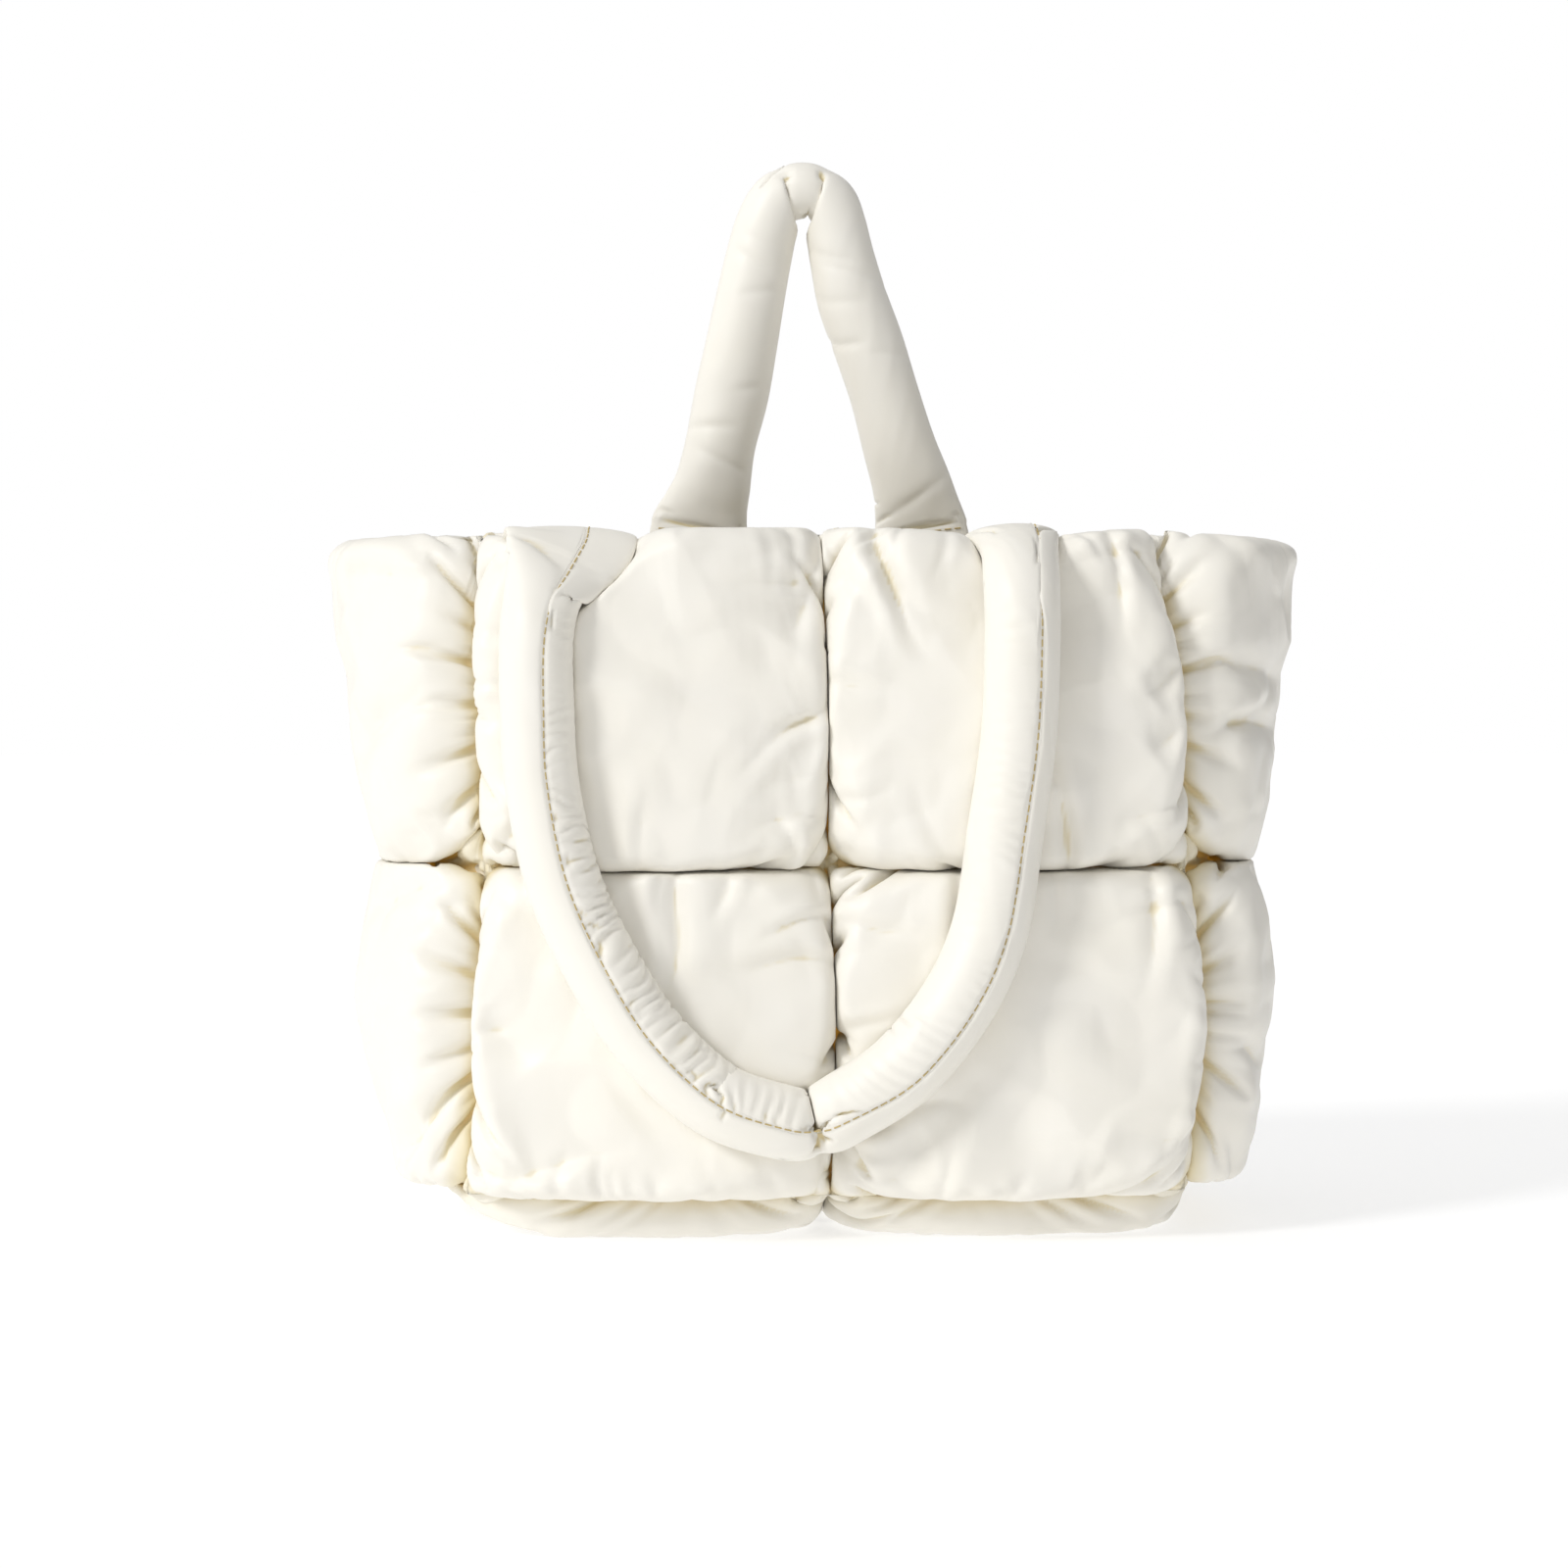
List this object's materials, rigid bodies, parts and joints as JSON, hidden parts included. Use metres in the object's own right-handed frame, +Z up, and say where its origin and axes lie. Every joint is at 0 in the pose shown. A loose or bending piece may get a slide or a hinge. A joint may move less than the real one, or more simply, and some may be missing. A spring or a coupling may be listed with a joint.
{
  "type": "puffer tote bag",
  "caption": "Open-top quilted puffer tote bag with padded walls, one stuffed handle standing up and a longer one hanging over the front.",
  "frame": {"origin": "on the floor, under the middle of the whole bag's box", "axes": "+Z up, -Y towards the front wall that the long handle hangs over, +X to the right seen from the front"},
  "size_m": [0.4602, 0.2618, 0.5119],
  "materials": {
    "cream_nylon": "satin, down-filled glossy nylon"
  },
  "bodies": {
    "root": {"front_panel": "cream_nylon", "back_panel": "cream_nylon", "left_gusset": "cream_nylon", "right_gusset": "cream_nylon", "bottom_panel": "cream_nylon", "long_handle": "cream_nylon", "short_handle": "cream_nylon"}
  },
  "joints": []
}
